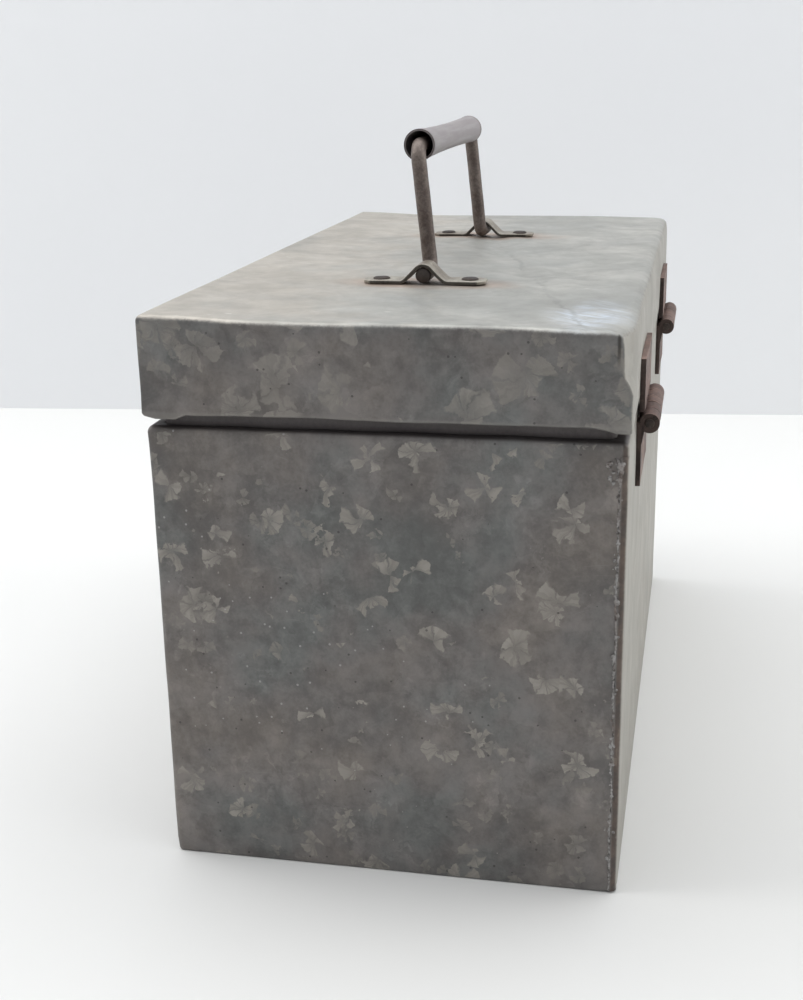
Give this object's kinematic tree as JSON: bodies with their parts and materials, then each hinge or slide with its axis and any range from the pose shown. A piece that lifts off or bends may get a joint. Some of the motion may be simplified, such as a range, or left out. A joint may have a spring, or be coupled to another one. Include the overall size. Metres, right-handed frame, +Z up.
{
  "type": "fireproof document box",
  "caption": "Insulated galvanised-steel document box with an overlapping hinged lid, a folding bail handle with a loose tube grip, and a front hasp with a padlock staple.",
  "frame": {"origin": "centre of the flat bottom face that the box stands on", "axes": "+Z up; +X along the box's length, from the far end to the end the picture shows; -Y towards the front with the hasp; +Y towards the side with the hinges"},
  "size_m": [0.36, 0.2078, 0.2859],
  "materials": {
    "galvanised_sheet": "weathered zinc-coated sheet steel with large grey crystals, dull",
    "solder": "rough lead-tin bead, dull",
    "insulation": "mineral-fibre millboard, matt",
    "rusty_steel": "plain steel with brown-mauve rust, matt",
    "bracket_steel": "pressed steel, tarnished grey-brown, worn bright along the edges",
    "dark_steel": "dark oxidised steel, satin",
    "handle_steel": "round steel rod, dark brown-grey, hand-worn satin",
    "zinc_tube": "rolled zinc-coated tube, pale grey, rubbed smooth"
  },
  "bodies": {
    "base": {"base_wrap": "galvanised_sheet", "base_back": "galvanised_sheet", "base_bottom": "galvanised_sheet", "seam_solder": "solder", "rim_collar": "galvanised_sheet", "inner_liner": "galvanised_sheet", "insulation_front": "insulation", "insulation_back": "insulation", "insulation_end_near": "insulation", "insulation_end_far": "insulation", "insulation_bottom": "insulation", "hinge_base_leaf_near": "rusty_steel", "hinge_base_leaf_far": "rusty_steel", "hinge_pin_near": "dark_steel", "hinge_pin_far": "dark_steel", "base_hinge_rivets": "dark_steel", "hasp_plate": "rusty_steel", "hasp_pin": "dark_steel", "hasp_plate_rivets": "dark_steel"},
    "lid": {"lid_shell": "galvanised_sheet", "lid_liner": "galvanised_sheet", "insulation_lid": "insulation", "hinge_lid_leaf_near": "rusty_steel", "hinge_lid_leaf_far": "rusty_steel", "lid_hinge_rivets": "dark_steel", "saddle_bracket_near": "bracket_steel", "saddle_bracket_far": "bracket_steel", "bracket_rivets": "dark_steel", "hasp_staple": "rusty_steel", "staple_rivets": "dark_steel"},
    "handle": {"handle_rod": "handle_steel"},
    "grip": {"grip_tube": "zinc_tube"},
    "hasp": {"hasp_strap": "rusty_steel"}
  },
  "joints": [
    {"name": "lid_hinge", "type": "hinge", "parent": "base", "child": "lid", "pos_m": [0, 0.096, 0.178], "axis": [-1, 0, 0], "range_deg": [0, 180]},
    {"name": "handle_swing", "type": "hinge", "parent": "lid", "child": "handle", "pos_m": [0, -0.001, 0.2276], "axis": [1, 0, 0], "range_deg": [-91, 79]},
    {"name": "grip_spin", "type": "hinge", "parent": "handle", "child": "grip", "pos_m": [0, -0.00626, 0.27933], "axis": [1, 0, 0], "continuous": true},
    {"name": "hasp_swing", "type": "hinge", "parent": "base", "child": "hasp", "pos_m": [0, -0.0942, 0.176], "axis": [-1, 0, 0], "range_deg": [0, 180]}
  ]
}
